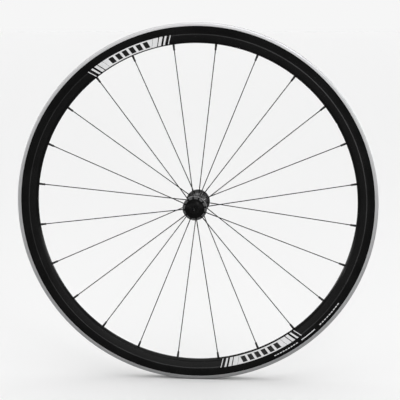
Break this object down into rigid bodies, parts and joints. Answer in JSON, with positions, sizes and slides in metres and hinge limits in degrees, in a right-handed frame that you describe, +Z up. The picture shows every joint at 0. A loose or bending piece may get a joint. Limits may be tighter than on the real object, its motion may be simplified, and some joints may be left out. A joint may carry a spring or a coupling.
{
  "type": "bicycle front wheel",
  "caption": "Road bicycle front wheel without a tyre: deep black rim with a bare metal brake track, radial spokes, and a hub with a hollow axle for a quick release skewer.",
  "frame": {"origin": "the wheel's centre, on the axle's axis and half way between the two fork faces", "axes": "+Y along the axle to the wheel's left side, +Z up, +X forward; the side with the most visible print is the right side, at -Y"},
  "size_m": [0.634, 0.109, 0.634],
  "materials": {
    "rim_black": "satin black coating",
    "brake_track": "machined bare metal",
    "decal_silver": "silver print",
    "tape": "woven nylon tape",
    "spoke_black": "black coated stainless steel",
    "nipple_black": "black anodised",
    "hub_black": "gloss black anodised",
    "cap_black": "satin black anodised",
    "axle_metal": "turned",
    "bearing_steel": "ground",
    "ball_steel": "polished"
  },
  "bodies": {
    "axle_set": {"axle": "axle_metal", "end_cap_left": "cap_black", "end_cap_right": "cap_black", "bearing_inner_ring_left": "bearing_steel", "bearing_inner_ring_right": "bearing_steel"},
    "wheel": {"rim": "rim_black", "rim_tape": "tape", "hub_shell": "hub_black", "bearing_outer_ring_left": "bearing_steel", "bearing_outer_ring_right": "bearing_steel", "spoke_01": "spoke_black", "spoke_02": "spoke_black", "spoke_03": "spoke_black", "spoke_04": "spoke_black", "spoke_05": "spoke_black", "spoke_06": "spoke_black", "spoke_07": "spoke_black", "spoke_08": "spoke_black", "spoke_09": "spoke_black", "spoke_10": "spoke_black", "spoke_11": "spoke_black", "spoke_12": "spoke_black", "spoke_13": "spoke_black", "spoke_14": "spoke_black", "spoke_15": "spoke_black", "spoke_16": "spoke_black", "spoke_17": "spoke_black", "spoke_18": "spoke_black", "spoke_19": "spoke_black", "spoke_20": "spoke_black", "spoke_21": "spoke_black", "spoke_22": "spoke_black", "spoke_23": "spoke_black", "spoke_24": "spoke_black", "nipple_01": "nipple_black", "nipple_02": "nipple_black", "nipple_03": "nipple_black", "nipple_04": "nipple_black", "nipple_05": "nipple_black", "nipple_06": "nipple_black", "nipple_07": "nipple_black", "nipple_08": "nipple_black", "nipple_09": "nipple_black", "nipple_10": "nipple_black", "nipple_11": "nipple_black", "nipple_12": "nipple_black", "nipple_13": "nipple_black", "nipple_14": "nipple_black", "nipple_15": "nipple_black", "nipple_16": "nipple_black", "nipple_17": "nipple_black", "nipple_18": "nipple_black", "nipple_19": "nipple_black", "nipple_20": "nipple_black", "nipple_21": "nipple_black", "nipple_22": "nipple_black", "nipple_23": "nipple_black", "nipple_24": "nipple_black"},
    "balls": {"bearing_balls_left": "ball_steel", "bearing_balls_right": "ball_steel"}
  },
  "joints": [
    {"name": "wheel_spin", "type": "hinge", "parent": "axle_set", "child": "wheel", "pos_m": [0, 0, 0], "axis": [0, 1, 0], "continuous": true},
    {"name": "ball_roll", "type": "hinge", "parent": "axle_set", "child": "balls", "pos_m": [0, 0, 0], "axis": [0, 1, 0], "continuous": true}
  ],
  "couplings": [
    {"joint": "ball_roll", "follows": "wheel_spin", "ratio": 0.619}
  ]
}
